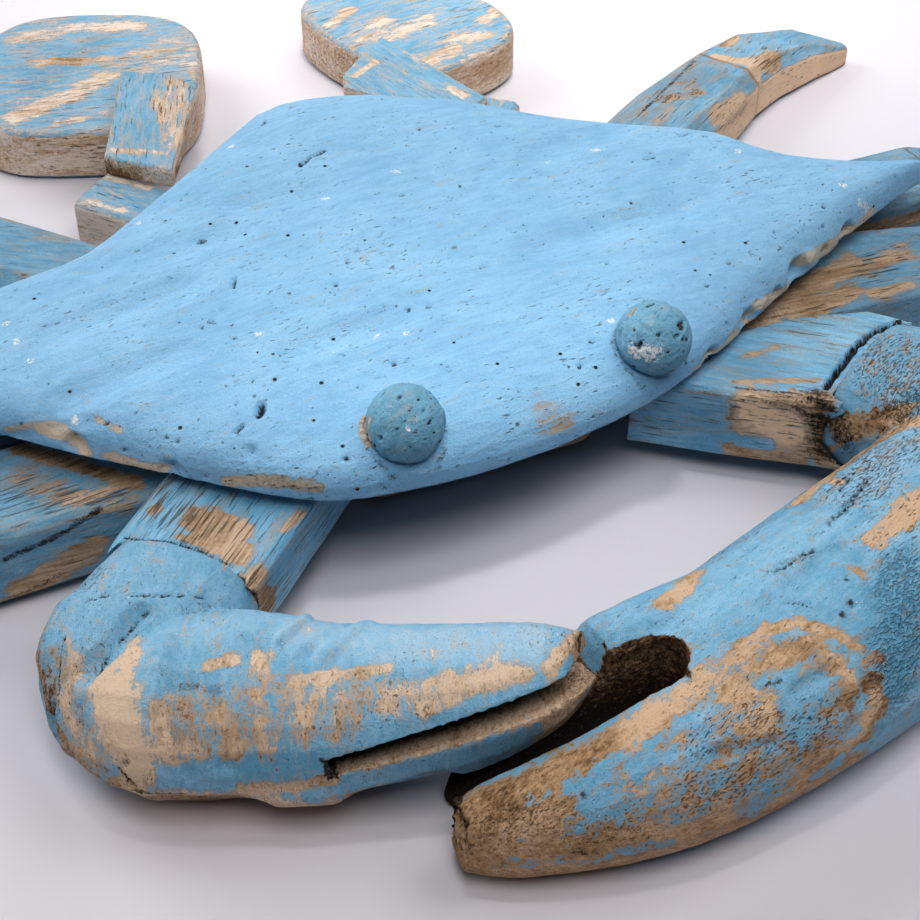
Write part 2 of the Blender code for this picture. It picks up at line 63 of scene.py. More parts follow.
STROKES["claw_right"] = dict(sculpt=(
    # knot, and the valley that runs from it down the wrist
    (3, -1.8, (-76, -83, 27), (-82, -88, 27), (-86, -90, 25)),
    (2, -1.2, (-87, -92, 24), (-89, -97, 20), (-88, -102, 15)),
    (3, 1, (-74, -91, 28), (-79, -102, 27)),
    (3, 1, (-88, -83, 26), (-89, -93, 24)),
    (5.5, 1.2, (-87, -74, 23), (-92, -80, 22)),
    # hollow under the palm, heel and waist of the lower finger
    (9, -6, (-79, -109, 5), (-72, -111, 5)),
    (7, -2.6, (-92, -97, 6), (-86, -104, 6)),
    (4, 0.9, (-63, -116, 11), (-57, -118, 11)),
    (6, -2.4, (-50, -119, 8), (-41, -122, 11)),
    # folds across the upper finger
    (1.7, -1, (-55, -103, 28), (-45, -97, 25)),
    (2, 0.9, (-51, -104, 28), (-42, -98, 26)),
    (1.5, 1, (-57, -98, 28), (-51, -93, 25)),
    (1, -0.8, (-62, -94, 28), (-61, -99, 28)),
    (2, -1, (-71, -112, 19), (-70, -104, 27)),
    (1.6, -0.7, (-78, -106, 24), (-77, -111, 17)),
), bare=(
    # strip carved down from the knot
    (1.8, 1.2, (-79, -89, 28), (-81, -93, 27)),
    (3.8, 1.2, (-84, -96, 26), (-85, -101, 25), (-85, -104, 22)),
    (2.6, 1.2, (-83, -105, 23), (-84, -107, 17)),
    # half worn side of the wrist
    (4, 0.05, (-89, -86, 24), (-91, -94, 21), (-90, -100, 18)),
    (2.6, 0.15, (-91, -77, 21), (-93, -88, 18), (-93, -93, 14)),
    (0.8, 0.7, (-93, -80, 21), (-94, -88, 16), (-93, -95, 15), (-90, -101, 17)),
    (3.5, 0.6, (-92, -95, 11), (-87, -103, 11)),
    # belly, worn along its lowest edge
    (4.5, 1.1, (-86, -105, 9), (-79, -110, 10), (-70, -113, 8), (-60, -116, 7), (-52, -119, 8)),
    (1.4, 0.9, (-69, -114, 14), (-61, -117, 15), (-57, -119, 16)),
    (2.2, 0.7, (-51, -120, 9), (-40, -123, 11)),
    (6, 1, (-86, -102, 2), (-70, -109, 2), (-52, -116, 2)),
    # two flakes below the folds
    (1.2, 1, (-69, -99, 28), (-65, -99, 28)),
    (1.6, 1, (-61, -100, 28), (-62, -105, 28)),
    # streaked face: half worn, with paler streaks from top to bottom
    (6, -0.05, (-77, -106, 25), (-68, -109, 25), (-60, -111, 26), (-54, -113, 27)),
    (1.3, 0.6, (-70, -107, 26), (-70, -112, 21)),
    (1.3, 0.6, (-64, -107, 27), (-65, -113, 22)),
    (1.3, 0.5, (-79, -103, 26), (-79, -109, 20)),
    (1, 0.5, (-75, -104, 26), (-75, -110, 21)),
    (1, 0.4, (-58, -109, 28), (-59, -115, 22)),
    # upper edge of the streaks, out to the tip
    (1.1, 0.9, (-58, -107, 28), (-51, -109, 28), (-44, -111, 29)),
    (3, 0.1, (-52, -112, 27), (-44, -116, 28), (-39, -118, 28)),
    (2.5, 0.9, (-38, -118, 28), (-32, -119, 29), (-26, -121, 29)),
    (1.3, 0.9, (-41, -120, 27), (-36, -120, 28)),
    # paint left along both sides of the slit
    (1.3, -1.2, (-37, -122, 26), (-30, -123, 27), (-25, -123, 28)),
    (1.5, -1.1, (-46, -122, 18), (-36, -125, 19), (-26, -126, 20)),
    (1.2, -1.1, (-80, -109, 18), (-74, -112, 18)),
    (2.2, -1.2, (-68, -114, 19), (-63, -117, 18)),
    # worn lip under the slit
    (0.8, 0.8, (-52, -120, 18), (-41, -123, 21), (-29, -125, 23), (-23, -126, 24)),
    # broken ends of both fingers
    (1.3, 1.3, (-21, -122, 30), (-18, -120, 30), (-15, -118, 30)),
    (1.5, 1.3, (-21, -126, 23), (-16, -123, 24)),
    (3, 1.3, (-21, -126, 18), (-19, -125, 21)),
    (5, 1.3, (-12, -118, 26)),
    (4.8, 1.3, (-14, -118, 19), (-20, -119, 17)),
), pores=(
    # open grain of the wrist's end and along the strip
    (3.5, 1, (-82, -69, 24), (-90, -74, 21), (-93, -81, 19), (-93, -90, 16)),
    (1.7, 0.6, (-68, -84, 26), (-64, -86, 25)),
    (3.8, -0.5, (-84, -97, 26), (-85, -104, 22)),
    (4, -0.3, (-38, -118, 28), (-26, -121, 29)),
), tone=(
    # chalky upper finger and knuckle, also painted lighter on top as lit
    (5, 1.5, (-53, -97, 27), (-37, -108, 29), (-23, -115, 30)),
    (3.6, 0.8, (-73, -92, 28), (-62, -91, 27)),
    # pale strip, brown side of the wrist, deeper paint low down that is also painted shade of the lower face
    (3.6, 1.2, (-80, -92, 28), (-84, -98, 26), (-84, -106, 20)),
    (3.6, -0.8, (-92, -82, 20), (-94, -91, 14), (-89, -101, 12)),
    (2, -0.6, (-74, -101, 27), (-76, -107, 24)),
    (2.5, -1, (-67, -114, 19), (-59, -117, 20)),
    (2.5, -0.4, (-46, -122, 19), (-28, -126, 20)),
    (4, 0.6, (-80, -110, 9), (-60, -116, 8)),
    (8, -0.4, (-13, -118, 22)),
), dark=(
    # knot, brown folds beside the strip
    (0.9, 0.9, (-75, -83, 27)),
    (1.8, 0.35, (-90, -91, 23), (-90, -98, 21)),
    (1.2, 0.5, (-86, -105, 19)),
    (1.2, 0.35, (-91, -100, 12), (-87, -104, 12)),
    (2.2, 0.3, (-91, -76, 21), (-94, -88, 17), (-93, -96, 12)),
    (0.6, 0.7, (-85, -106, 12.5), (-81.5, -108.5, 12.5), (-78.5, -110.5, 13)),
    # small bruises on the face
    (0.9, 0.55, (-74, -101, 27), (-72, -102, 27)),
    (0.6, 0.45, (-75.5, -104, 26.5), (-75.5, -108, 24.5), (-75, -110, 21.5)),
    (0.5, 0.5, (-66.5, -100.5, 28)),
    (1, 0.4, (-42, -120, 27), (-40, -121, 26)),
    # splintered corner of the upper finger
    (0.7, 0.9, (-12.5, -116, 29), (-14, -118.5, 28)),
    # under the wrist
    (0.6, 0.5, (-93, -93, 9), (-94, -87, 9.5)),
), crack=(
    # seam round the wrist and the creases of its side
    (0.25, 0.6, (-84, -76, 26.5), (-80.5, -77, 27), (-72.5, -80.5, 27.5), (-64.5, -82, 25)),
    (0.25, 0.6, (-76.5, -83.5, 27.5), (-82, -87.5, 27), (-86.5, -90, 25)),
    (0.35, 0.8, (-93.5, -91.5, 15), (-90.5, -99, 15), (-86.5, -104.5, 17), (-84.5, -107.5, 12)),
    (0.25, 0.5, (-88, -82, 26), (-91.5, -87, 22), (-92.5, -92, 18)),
))

STROKES["claw_left"] = dict(sculpt=(
    (2.6, 1.2, (19, -131, 28), (23, -140, 25)),
    (1.6, -0.8, (14, -138, 26), (21, -137, 27)),
    (3.5, -0.8, (24, -121, 29), (33, -117, 29)),
    (3, -0.7, (46, -110, 29), (52, -101, 28)),
    (2, -0.8, (-2, -143, 24), (7, -144, 23)),
    # broken corner of the front finger
    (3, -1.6, (-41, -130, 13)),
    (2, -1.4, (-42, -134, 6)),
), bare=(
    # thin coat on the wrist's inner side, patch on the inner edge, rubbed curl beside the arm
    (6, -0.75, (44, -103, 28), (54, -99, 28), (61, -98, 28)),
    (1.6, 1, (12, -109, 26), (7, -113, 27), (4, -114, 27)),
    (1.7, 1.1, (37, -100, 25), (41, -98, 24), (46, -96, 23.5), (51, -93.5, 23.5), (56, -91, 23),
     (61, -90, 24)),
    (2, 1.1, (61, -90, 24), (69, -89, 26)),
    # flaky end of the wrist, bare end grain against the arm
    (5, -0.65, (68, -77, 26), (75, -71, 27), (72, -81, 27)),
    (0.8, 1, (60, -77.5, 10.5), (61.5, -81.5, 18), (66, -85, 23.5), (70.5, -86.5, 26)),
    (2.6, 1, (60, -78, 17), (63, -82, 19), (66, -85, 23)),
    (2.6, 1, (63, -89, 24), (67, -91, 26)),
    (1.1, 0.8, (44, -95, 23), (45, -100, 27)),
    # patch at the wrist
    (2.8, 1, (53, -112, 30), (48, -115, 30)),
    (1.8, 1, (46, -115, 30), (41, -117, 30)),
    (0.9, 0.6, (34, -121, 30), (35, -123, 30)),
    # mottled middle, worn ring round the knuckle
    (7.8, -0.05, (5, -135, 27), (15, -137, 27), (15, -144, 22), (2, -145, 22), (-8, -145, 21)),
    (1.3, 0.6, (7, -130, 28), (14, -127, 29), (20, -128, 29), (25, -132, 28), (27, -135, 27)),
    (2.1, 0.6, (9, -132, 28), (15, -132, 28), (20, -133, 28), (22, -137, 27), (22, -141, 25)),
    (1.1, 0.7, (27, -137, 26), (30, -137, 26)),
    (2.2, 1, (27, -141, 24), (27, -143, 21), (25, -144, 20)),
    (1.4, 0.9, (25, -145, 17), (19, -146, 17), (14, -146, 16), (11, -146, 12)),
    (2.4, 0.5, (5, -135, 26), (7, -138, 26)),
    (1.6, 0.5, (3, -141, 25), (8, -141, 24)),
    # wedge by the slot
    (2.3, 1.1, (-11, -133, 25), (-5, -132, 25)),
    (1.4, 1, (-3, -131, 26), (1, -131, 27)),
    (1.4, 0.1, (-9, -139, 24), (-5, -138, 25)),
    # front finger, worn to its edge and underneath
    (2.8, 1.2, (-38, -133, 18), (-31, -134, 20), (-25, -134, 22), (-18, -134, 23), (-11, -134, 24)),
    (3.6, 1.2, (-39, -135, 17), (-33, -139, 17), (-28, -140, 19)),
    (3, 1.1, (-37, -139, 13), (-28, -143, 13), (-23, -145, 13)),
    (3, 0.5, (-21, -145, 15), (-10, -147, 14), (0, -148, 13)),
    (4, 0.9, (-30, -140, 6), (-12, -146, 7), (6, -147, 7)),
    (3, 0.7, (6, -147, 9), (22, -145, 11)),
    (4.6, -0.1, (-17, -143, 21), (-7, -146, 21), (4, -146, 20)),
    # islands of paint
    (2.3, -0.55, (-18, -140, 22), (-11, -140, 24), (-3, -141, 25)),
    (1.5, -0.9, (-23, -141, 20), (-20, -142, 21)),
    (2.6, -1, (13, -138, 26), (18, -138, 26)),
    (2, -0.9, (12, -143, 23), (15, -143, 24)),
    # all of the tip
    (8, 1.4, (-40, -132, 9)),
    (7, 1.2, (-34, -135, 3), (-22, -138, 3)),
), pores=(
    (4.5, 0.7, (-39, -134, 17), (-31, -140, 18), (-22, -144, 16), (-15, -146, 16)),
    (2.5, 0.4, (-27, -133, 21), (-18, -134, 23)),
    (4, 0.9, (-7, -146, 19), (4, -147, 19), (16, -143, 23)),
    (3.1, 0.7, (-4, -140, 25), (6, -140, 25)),
    (3.5, 1, (48, -94, 23), (57, -95, 27), (62, -88, 24)),
    (2.4, 0.8, (17, -104, 23), (36, -100, 24)),
    (4, 0.6, (44, -108, 29), (52, -102, 28)),
    # fibrous wrist
    (5, 1.2, (44, -103, 28), (54, -99, 28), (61, -98, 28)),
    (5.5, 1.3, (68, -77, 26), (75, -71, 27), (73, -81, 28), (69, -85, 25)),
), tone=(
    # deeper paint past the shoulder, chalky inner side
    (4.3, -0.8, (43, -123, 29), (35, -136, 26), (25, -144, 20)),
    (3.8, 0.5, (8, -118, 27), (21, -115, 29), (36, -109, 29)),
    (5, 0.9, (44, -103, 28), (54, -99, 28), (61, -98, 28)),
    (1.7, -0.2, (37, -100, 25), (46, -96, 23.5), (56, -91, 23), (69, -89, 26)),
    # brown front finger
    (4, -0.7, (-37, -134, 18), (-29, -136, 20), (-19, -136, 23)),
    (3, -0.3, (-38, -138, 14), (-23, -145, 14), (-7, -147, 11)),
    (2.2, 0.9, (-10, -132, 24), (1, -131, 27)),
    (2, 1, (7, -113, 27)),
    (2.8, 0.9, (53, -112, 30), (42, -117, 30)),
    (1.6, 0.9, (27, -142, 23), (20, -146, 17)),
    (9, -0.5, (-40, -132, 10)),
    (3, -0.7, (60, -78, 17), (64, -83, 21)),
), ripple=(
    # dimpled skin past the shoulder
    (5, 1, (42, -126, 29), (35, -136, 26), (31, -140, 23)),
), dark=(
    # dark end by the arm
    (3.2, 0.75, (60, -77, 18), (61, -80, 15)),
    (1.2, 0.45, (61, -82, 17), (66, -84, 24), (71, -85, 27)),
    (1.1, 0.5, (65, -86, 21), (70, -88, 25)),
    (1.1, 0.5, (50, -100, 27), (52, -99, 28)),
    (1.4, 0.4, (40, -97, 23), (50, -92, 22)),
    (3.5, 0.28, (38, -102, 27), (46, -98, 26), (55, -93, 26)),
    (3, 0.25, (12, -107, 25), (30, -101, 24)),
    # fibres torn along the wrist
    (1, 0.5, (21.5, -116.5, 29), (26, -115.5, 29), (31, -115, 29.5)),
    (1, 0.5, (37, -110, 29), (42, -107.5, 29), (49, -102.5, 28.5)),
    # knots
    (0.8, 0.9, (30, -127.5, 29)),
    (0.6, 0.9, (27.5, -129, 29)),
    (0.5, 0.8, (32, -123, 29.5)),
    # bruised middle
    (1, 0.5, (10, -141, 25), (7, -143, 24)),
    (1.4, 0.4, (-5, -142, 24), (1, -143, 24), (6, -144, 23)),
    (0.6, 0.7, (9, -136, 27), (12, -136, 27)),
    # darkened tip and finger
    (1.2, 0.8, (-41, -131, 16), (-40, -134, 15), (-40, -136, 12)),
    (1.8, 0.15, (-37, -132, 18), (-31, -133, 20), (-24, -132, 22), (-17, -133, 23)),
    (0.6, 0.9, (-23.5, -140, 21)),
    (0.6, 0.6, (-26, -143.5, 12.5), (-23.5, -144.5, 11)),
    (2.1, 0.2, (-22, -144, 16), (-15, -146, 14)),
), crack=(
    # split fibres beside the curl
    (0.3, 0.6, (42, -101, 27), (50, -98, 27), (58, -95, 27), (65, -94, 27.5)),
    (0.25, 0.6, (21.5, -116.5, 29), (24, -116.5, 29), (28, -115, 29), (31, -115, 29.5)),
    (0.25, 0.7, (38, -109.5, 29), (41.5, -108, 29), (45, -105.5, 29), (48, -103.5, 28.5)),
    (0.25, 0.4, (43, -103, 28), (49, -99, 27)),
    (0.2, 0.4, (24, -126, 29), (21, -123.5, 29), (17, -123, 28.5)),
), hole=(
    # small knocks
    (0.3, 0.7, (-2, -136, 26)),
    (0.3, 0.5, (24, -125, 29)),
    (0.3, 0.5, (16.5, -121, 29)),
    (0.3, 0.5, (0, -119.5, 22.5)),
    (0.3, 0.5, (30.5, -117.5, 29.5)),
    (0.3, 0.5, (16.5, -114, 28)),
))

STROKES["arm_right"] = dict(bare=(
    # worn patch of the top and its ragged foot
    (3.6, 1.1, (-59, -61, 22), (-56, -66, 22)),
    (2.4, 1.1, (-59, -66, 22), (-56, -71, 22)),
    (0.9, 0.7, (-64, -63, 22), (-59, -68, 22)),
    (1.4, 0.5, (-66, -55, 22)),
    (2.2, 1, (-56, -79, 20), (-54, -77, 21)),
    (2.8, 1, (-55, -79, 17), (-53, -77, 13)),
    (0.7, 0.6, (-47, -68.5, 22), (-42, -65, 21)),
), tone=(
    (3.4, -0.7, (-44, -68, 17), (-52, -76, 16)),
), pores=(
    (4, 1.3, (-66, -55, 22), (-62, -62, 22)),
), dark=(
    (0.9, 0.6, (-64, -65, 22)),
    (0.7, 0.6, (-62.5, -66.5, 22), (-60.5, -70, 22)),
), crack=(
    (0.3, 0.6, (-73, -59.5, 22), (-66, -63.5, 22), (-61.5, -68, 22), (-57.5, -74, 22)),
    (0.2, 0.4, (-68, -58.5, 22), (-61, -65.5, 22)),
))

STROKES["arm_left"] = dict(bare=(
    # worn front face with one island of paint
    (3.2, 1.1, (47, -68, 19), (56, -74, 19)),
    (2.6, 1.1, (46, -68, 14), (55, -74, 12)),
    (2.8, 1.1, (55, -74, 12), (60, -78.5, 9)),
    (1.5, 0.9, (44, -67, 7), (56, -74, 7)),
    (1.3, -1, (47, -68, 10), (50, -71, 10)),
    # scrapes along the top
    (0.8, 0.3, (45.5, -63.5, 22), (52, -66, 22), (60.5, -69.5, 22)),
    (0.8, 0.3, (51, -57.5, 22), (58, -57.5, 22)),
    (2.5, 0.9, (59, -74, 20), (58, -76, 12)),
), tone=(
    # bleached front face: painted light on a face turned to the lamps
    (4.2, 2, (46, -68, 18), (53, -73, 14)),
    (3, -0.6, (33, -58, 12), (42, -65, 16)),
    (3.2, 0.5, (55, -57, 22), (71, -61, 22)),
    (2.6, -1, (58, -77, 20), (59, -77, 16), (59, -77, 11)),
), dark=(
    # dark corner against the claw
    (3.4, 0.8, (57.5, -74, 21), (58.5, -76, 16), (59, -77, 11)),
    (1.6, 0.45, (50, -70.5, 21), (56, -74, 20)),
    (0.5, 0.8, (53.5, -72.5, 20), (56.5, -75, 18)),
    (0.5, 0.7, (44.5, -65, 22), (53.5, -70.5, 22)),
    (0.4, 0.6, (45, -67, 20), (54.5, -73, 21)),
), crack=(
    # drying crack across the top
    (0.8, 2.2, (86.5, -60, 22), (81, -60.5, 22.5), (77, -61.5, 22.5), (72.5, -63.5, 22.5),
     (67.5, -67, 22), (64, -69.5, 22), (60.5, -72, 22)),
))

STROKES["shell"] = dict(sculpt=(
    # planed hollows
    (5.7, -1.1, (-73, -15), (-47, -13)),
    (5.9, -1.1, (-60, 2), (-34, 1)),
    (5.6, -1.1, (-33, -39), (-15, -38)),
    (6, -1.1, (20, -28), (52, -25)),
    (6.4, -1.1, (35, 3), (54, 7)),
    (6.1, -1.1, (-29, 10), (-10, 7)),
    (5.4, -1.1, (-76, -33), (-53, -31)),
    (2.6, -0.5, (-88, -29, 24), (-72, -39, 32)),
    (1.7, -0.9, (-49, -58)),
    # chops along the front rim
    (4.2, -3.2, (71, -44, 27)),
    (3, 0.8, (75, -42, 28)),
    (3.8, -2.8, (55, -54, 26)),
    (2.6, 0.8, (59, -51, 27)),
    (3.4, -2.2, (43, -60, 25)),
    (3.4, -2.2, (88, -35, 26)),
    (2.4, -1.4, (64, -48, 26)),
    (2.4, -1.4, (80, -39, 26)),
    (3, -1.6, (-62, -51, 26)),
    (3.4, -1.8, (-76, -39, 27)),
), bare=(
    # rubbed edge near the right spine
    (1.6, 1.3, (-81, -34, 29), (-78, -37, 29), (-75, -40, 26)),
    (0.7, 0.7, (-86.5, -30, 27), (-82.5, -33, 29)),
    (1.4, 1.3, (-71, -43, 26), (-67, -47, 25), (-64, -50, 25)),
    (1.2, 1.2, (-54, -58, 26), (-48, -62, 28), (-40, -67, 28)),
    (0.6, 0.5, (-71.5, -39), (-68.5, -43)),
    # crescent by the right eye
    (0.7, 1, (-28, -60), (-29.5, -62.5), (-29.5, -65)),
    # chopped front edge on the left
    (1.1, 1.3, (38, -61, 25), (45, -58, 25), (52, -55, 26)),
    (1.1, 1.3, (55, -53, 26), (57, -51, 28), (67, -46, 25)),
    (1.3, 1.3, (68, -45, 25), (70, -44, 29), (92, -33, 25), (97, -30, 26)),
    (1.7, 1.3, (55, -53, 23), (64, -48, 23), (71, -44, 22.5), (80, -40, 23), (92, -34, 24)),
    # pinkish scrape
    (2.5, -0.05, (3, -68), (6, -69)),
), tone=(
    (2.2, 1.4, (-81, -34, 29), (-75, -40, 26), (-64, -50, 25)),
    (1.8, 1, (38, -61, 25), (57, -51, 28), (70, -44, 29), (97, -30, 26)),
), pale=(
    # larger chips to the white ground
    (1.3, 0.55, (93, -31, 30), (95, -31, 28)),
    (1.1, 0.55, (-75, -37)),
    (1.2, 0.55, (47, 1)),
), hole=(
    # oval hole and knife cuts
    (0.9, 1.6, (-44, -50), (-45, -52)),
    (0.5, 1.5, (-37.5, -14.5), (-38.5, -17)),
    (0.5, 0.8, (-13, 18), (-10, 20), (-6.5, 21)),
    (0.5, 0.8, (67, 1), (70, 1.5)),
    (0.4, 0.8, (-50, -53.5), (-48.5, -53)),
    (0.4, 0.8, (-21.5, 4), (-19.5, 4.5)),
    (0.4, 0.8, (55, -6), (57.5, -6)),
    (0.5, 0.9, (-14, 41), (-13, 42)),
))

# small knocks and small white chips of the shell's top
SHELL_KNOCKS = ((-47.5, -26), (-52.5, -19.5), (-45, -25.5), (-71, -33.5), (-80.5, -24.5), (-48, -48),
                (-10.5, -36.5), (-5, -40.5), (-18.5, -49.5), (-20.5, -24.5), (-29, -17), (-60, -50),
                (-32, 32), (-37, 20), (-7, 11), (-13, -15.5), (30.5, -37.5), (54, -44), (46.5, -48.5),
                (54.5, -19.5), (13.5, -61), (-34, -66))
SHELL_CHIPS = ((-80.5, -8), (-80, -14), (-78.5, -20.5), (-13.5, -43), (-18.5, -41), (-26.5, -42),
               (-38.5, -32.5), (-23, 35), (4.5, 8), (35.5, 0.5), (76, -9), (-48.5, 15.5), (24, -52.5),
               (90.5, -27.5), (-12, 5.5))

STROKES["eye_left"] = dict(pale=(
    (1.9, 0.58, (23, -65, 37), (25, -67, 37)),
), hole=(
    (0.5, 0.7, (23, -64.5, 37.5), (23.5, -64.5, 38.5)),
    (0.5, 0.7, (31.5, -64.5, 40.5), (33, -63.5, 40)),
), bare=(
    (0.6, 1, (24.5, -58, 40.5), (25.5, -57.5, 41)),
))

STROKES["eye_right"] = dict(pale=(
    (0.7, 0.55, (-24, -70.5, 39)),
), bare=(
    (0.7, 0.8, (-29, -64.5, 38), (-29.5, -65, 34)),
))

STROKES["leg_right_1_upper"] = dict(bare=(
    # brown edge under the rim, darker as painted shadow of the shell, split side face
    (1.6, 1, (-84, -26, 19), (-75, -35, 19), (-67, -44, 19)),
    (2.9, 0.15, (-86, -34, 19), (-79, -42, 19), (-71, -46, 18)),
    (2.4, 1, (-92, -48, 4), (-84, -48, 7), (-77, -47, 10)),
), pores=(
    (3.2, 1, (-87, -37, 19), (-79, -43, 19), (-71, -47, 18)),
), tone=(
    # darker brown under the rim: painted shadow of the shell
    (1.8, -0.7, (-84, -26, 19), (-75, -35, 19), (-67, -44, 19)),
), dark=(
    (0.7, 0.9, (-93, -48, 13), (-84.5, -47.5, 14.5), (-74.5, -47, 18)),
    (0.5, 0.6, (-93.5, -48, 3), (-84, -47.5, 5.5)),
))

STROKES["leg_left_1_upper"] = dict(bare=(
    # brown stretch by the shell, darker next to it as painted shadow of the shell
    (2.9, 1, (61, -46, 19), (75, -40, 19), (90, -35, 19)),
    (2, 1, (70, -47, 19), (84, -44, 19)),
    (2.5, 0.2, (92, -39, 19), (103, -35, 18)),
    (1, 0.9, (88, -46, 19), (97, -46, 18)),
), tone=(
    # darker brown by the shell: painted shadow
    (5.3, -0.35, (73, -43, 19), (91, -37, 19)),
), dark=(
    # painted shadow of the shell's rim
    (1.6, 0.4, (59, -46, 19), (69, -45, 19)),
))

STROKES["leg_left_2_upper"] = dict(bare=(
    (1.7, 1, (102, -21, 14), (118, -19, 12)),
), tone=(
    (3, -0.6, (102, -21, 15), (118, -19, 12)),
))

STROKES["leg_left_3_upper"] = dict(bare=(
    # thin coat on top, clean side under a dark ridge line
    (7.5, -0.35, (78, 40, 17), (103, 54, 15)),
    (1.7, 0.3, (85, 41, 17), (96, 42, 17)),
    (2.1, 1, (95, 32, 15), (108, 41, 12)),
), tone=(
    (3.4, -0.7, (97, 48, 16), (106, 49, 15)),
    # pale side face, painted lighter as lit
    (3.3, 1, (95, 32, 15), (108, 41, 12)),
), dark=(
    (0.5, 0.8, (78.5, 38, 17.5), (91, 47.5, 16.5), (103.5, 58.5, 14.5)),
    (1.8, 0.5, (85, 41, 17), (96, 42, 17)),
))

STROKES["leg_left_3_tip"] = dict(bare=(
    # V at the knee, side face
    (1.5, 1, (110, 59, 14), (116, 54, 14), (117, 49, 12)),
    (3, 0.9, (118, 53, 14), (124, 54, 13)),
    (1.2, 0.6, (115, 64, 13), (121, 67, 13)),
), tone=(
    # bleached low side face: painted light on a face turned to the lamps
    (4.2, 2, (122, 51, 5), (138, 58, 5)),
    (2.4, 1, (110, 59, 14), (116, 54, 14), (117, 49, 12)),
))


STROKES["paddle_right"] = dict(bare=(
    # broad worn band, wedge at the far edge, rubbed inner end
    (2.8, 0.8, (-58, 101), (-50, 103), (-44, 105)),
    (2.4, 0.7, (-44, 105), (-33, 111)),
    (2.2, 0.9, (-29, 136), (-19, 133)),
    (2.4, 0.2, (-50, 138), (-34, 138)),
    (2, 0.3, (-48, 125), (-40, 122), (-30, 119)),
    (6, 0, (-25, 114), (-10, 120), (-9, 108)),
    (1.4, 0.6, (-49, 94), (-44, 93.5)),
), tone=(
    (3.4, -0.8, (-51, 114), (-30, 129)),
))

STROKES["paddle_stem_right"] = dict(bare=(
    (3.6, 0.15, (-20, 91, 18), (-27, 65, 18)),
    (1.2, 0.5, (-25, 91, 18), (-28, 77.5, 18)),
    (1.2, 0.3, (-42, 69, 18), (-32, 64, 18)),
), tone=(
    # brown ledge, its dark brown painted shade of the step
    (3, -1.5, (-43, 66, 13), (-31, 61, 13)),
), dark=(
    # painted shade on the step of the ledge
    (2.4, 0.45, (-43, 66, 14), (-31, 61, 14)),
))

STROKES["paddle_root_right"] = dict(bare=(
    (1.2, 0.7, (-44, 66.5, 13), (-36.5, 59, 13)),
    (1.6, 0.3, (-51, 58, 13), (-45, 52, 13)),
), tone=(
    # pale low face, painted lighter as lit
    (3.4, 1, (-52, 57, 11), (-46, 50, 12)),
))

STROKES["paddle_left"] = dict(bare=(
    (1.5, 0.7, (27, 114), (35, 120)),
    (3, 0.3, (38, 102), (50, 106)),
    (2.4, 0.6, (43, 86), (52, 90)),
    (2.6, 0.3, (54, 94), (61, 94)),
    (3, 0.1, (31, 104), (40, 110)),
    (1.6, 0.5, (64, 101), (69, 104)),
))

STROKES["paddle_stem_left"] = dict(bare=(
    (1.2, 0.9, (40, 64, 18), (42, 60, 18)),
    (1, 0.5, (21, 79, 18), (28, 83, 18)),
))


# ---- noise

def lattice(ix, iy, iz, seed):
    """Random values from -1 to 1 at whole-number points, the same on every run."""
    h = (ix * 73856093) ^ (iy * 19349663) ^ (iz * 83492791) ^ (seed * 2654435761)
    h = ((h >> 13) ^ h) * 1274126177
    h = (h >> 16) ^ h
    return (h & 0xFFFFFF) / 0x7FFFFF - 1.0


def value_noise(points, seed):
    """Smooth random field from -1 to 1 with features about one unit across."""
    base = np.floor(points).astype(np.int64)
    t = points - base
    t = t * t * (3 - 2 * t)
    total = np.zeros(len(points))
    for corner in np.ndindex(2, 2, 2):
        weight = np.where(corner, t, 1 - t).prod(axis=1)
        total += weight * lattice(*(base + corner).T, seed)
    return total


def fractal(points, seed, octaves, gain=0.5):
    """Value noise with finer octaves added, still about -1 to 1."""
    total, weight, norm = np.zeros(len(points)), 1.0, 0.0
    for k in range(octaves):
        total += weight * value_noise(points * 2.03 ** k + 17.0 * k, seed + k)
        norm += weight
        weight *= gain
    return total / norm


def smooth_step(low, high, value):
    """Goes smoothly from 0 to 1 as value goes from low to high."""
    t = np.clip((value - low) / (high - low), 0.0, 1.0)
    return t * t * (3 - 2 * t)


# ---- carving

MARKS = ("bare", "dark", "pale", "pores", "tone", "ripple")
FADE = 2.4          # most millimetres over which a mark's edge fades
TOP_SIDE = 0.25     # least upward part of a normal where a flat stroke still lands
# ragged grooves: roughness of the edge, multiples of the half width over which depth and darkening fade,
# darkness (stain and painted shade)
CRACK = (0.5, (0.35, 1.15), (0.6, 1.25), 1.0)
HOLE = (0.6, (0.3, 1.2), (0.4, 1.2), 0.9)


def dense_copy(node, voxel):
    """A new object with the shape of one CAD solid, in even faces of voxel millimetres."""
    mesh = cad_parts[node].data.copy()
    bm = bmesh.new()
    bm.from_mesh(mesh)
    bmesh.ops.remove_doubles(bm, verts=bm.verts, dist=1e-6)
    bm.to_mesh(mesh)
    bm.free()
    mesh.materials.clear()
    copy = bpy.data.objects.new(node + "_wood", mesh)
    bpy.context.scene.collection.objects.link(copy)
    remesh = copy.modifiers.new("dense", "REMESH")
    remesh.mode = "VOXEL"
    remesh.voxel_size = voxel * MM
    evaluated = copy.evaluated_get(bpy.context.evaluated_depsgraph_get())
    dense = bpy.data.meshes.new_from_object(evaluated)
    copy.modifiers.clear()
    copy.data = dense
    return copy


